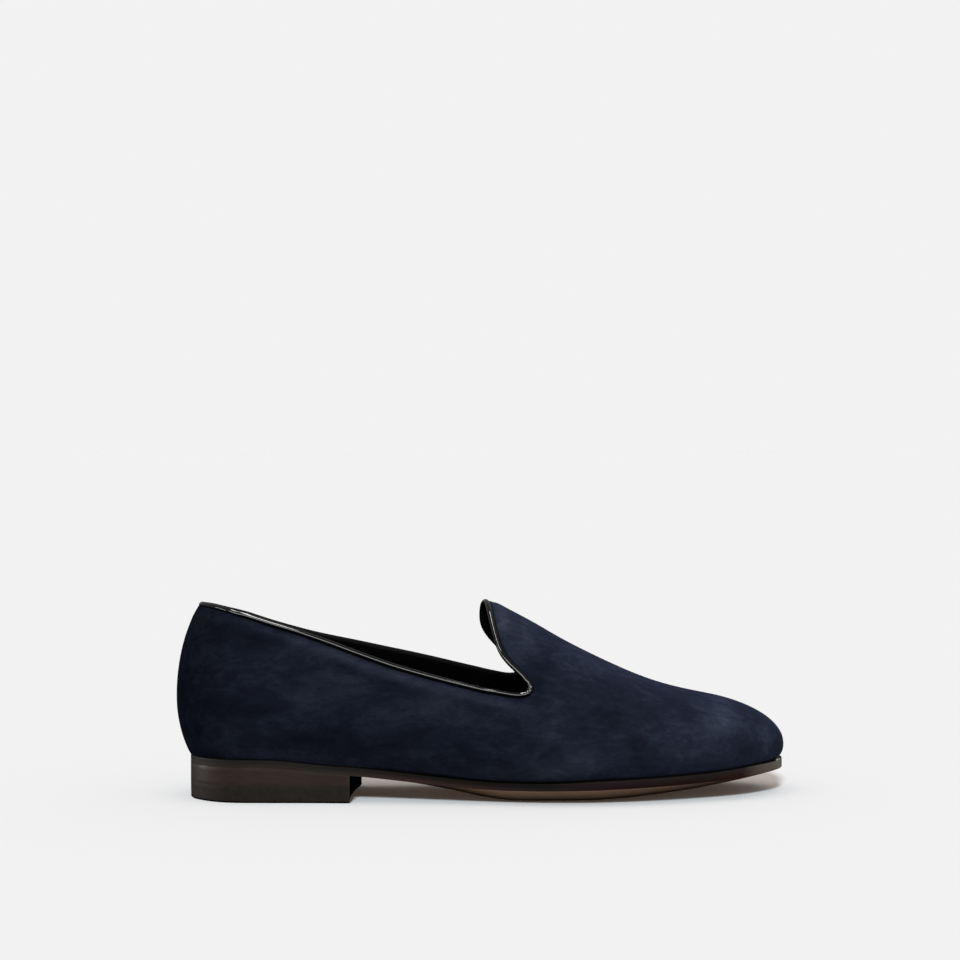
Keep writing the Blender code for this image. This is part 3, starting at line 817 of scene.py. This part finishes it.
lamps = {
    # name: place in metres, what it is aimed at, width and height in metres, power in watts, what it lights
    "top": ((0.35, -0.1, 0.5), (0.08, 0.0, 0.04), (0.3, 0.3), 0.62, "upper"),
    "toe": ((0.45, -0.35, 0.12), (0.08, 0.0, 0.03), (0.25, 0.25), 1.1, "upper"),
    "back": ((0.15, 0.45, 0.45), (0.03, 0.0, 0.05), (0.3, 0.3), 2.4, "upper"),
    "low": ((0.0, -0.8, 0.02), (0.0, 0.0, 0.04), (0.3, 0.3), 1.35, "upper"),
    "box": ((0.0, -0.9, 0.6), (0.0, 0.0, 0.06), (1.6, 0.35), 11.0, "trim"),
    "heelBox": ((-1.1, -0.5, 0.6), (-0.12, 0.0, 0.08), (0.6, 0.25), 3.0, "trim"),
    "overhead": ((-0.08, -0.1, 1.0), (-0.08, -0.1, 0.08), (0.12, 0.9), 6.5, "trim"),
    "sole": ((0.1, -0.9, 0.27), (0.0, 0.0, 0.01), (0.3, 0.15), 6.0, "bottom"),
    "rim": ((-0.8, 0.1, 0.15), (-0.14, 0.0, 0.02), (0.3, 0.3), 3.3, "bottom"),
    "far": ((0.1, 0.9, 0.27), (0.0, 0.0, 0.01), (0.3, 0.15), 4.0, "bottom"),
}
floorLamps = {
    # name: towards the lamp, width in degrees, its share of red, green and blue, what throws its shadow
    "sun": ((-0.08, -0.86, 0.5), 8, (0.575, 0.642, 0.69), "shoe"),
    "dome": ((0.1, -0.45, 0.89), 126, (0.365, 0.317, 0.281), "bottom"),
    "glow": ((0.0, 0.0, 1.0), 1, (0.06, 0.041, 0.029), "floor"),
}


def addLamp(name, kind, towards, lit):
    # a lamp that lights one group only
    data = bpy.data.lights.new(name, kind)
    lamp = bpy.data.objects.new(name + "_lamp", data)
    lamp.rotation_euler = Vector(towards).to_track_quat("Z", "Y").to_euler()
    bpy.context.scene.collection.objects.link(lamp)
    lamp.light_linking.receiver_collection = lit
    return lamp, data


def makeLamps(groups):
    for name, (place, aim, size, power, lit) in lamps.items():
        lamp, data = addLamp(name, "AREA", Vector(place) - Vector(aim), groups[lit])
        lamp.location = place
        data.shape = "RECTANGLE"
        data.size, data.size_y = size
        data.energy = power
    # the floor's own lamps make it as bright as the backdrop, with brown left in its shadow
    whole = linear(stage["backdrop"])[0] / stage["pale"] - stage["fill"]
    for name, (towards, wide, share, blocked) in floorLamps.items():
        lamp, data = addLamp(name, "SUN", towards, groups["floor"])
        lamp.light_linking.blocker_collection = groups[blocked]
        data.angle = radians(wide)
        data.color = share
        data.energy = pi * whole / Vector(towards).normalized().z


def makeGroups():
    # what a lamp lights or what throws its shadow
    pieces = {
        "floor": ("floor",),
        "upper": ("suede_upper", "upper_lining", "insole_sock"),
        "trim": ("topline_bind",),
        "bottom": ("leather_outsole", "stacked_heel", "heel_top_piece"),
    }
    pieces["shoe"] = pieces["upper"] + pieces["trim"] + pieces["bottom"]
    groups = {}
    for name, members in pieces.items():
        groups[name] = bpy.data.collections.new(name + "_group")
        for member in members:
            groups[name].objects.link(bpy.data.objects[member])
    return groups


def makeCamera():
    data = bpy.data.cameras.new("camera")
    data.lens = stage["lens"]
    data.sensor_width = stage["sensor"]
    data.clip_start, data.clip_end = stage["clip"]
    camera = bpy.data.objects.new("camera", data)
    camera.matrix_world = (
        Matrix.Translation(stage["eye"])
        @ Matrix.Rotation(radians(90 + stage["pitch"]), 4, "X")
        @ Matrix.Rotation(radians(stage["roll"]), 4, "Z"))
    bpy.context.scene.collection.objects.link(camera)
    bpy.context.scene.camera = camera


makeFloor()
makeLamps(makeGroups())
makeWorld()
makeCamera()
bpy.context.scene.view_settings.view_transform = "Standard"
print("stage set")
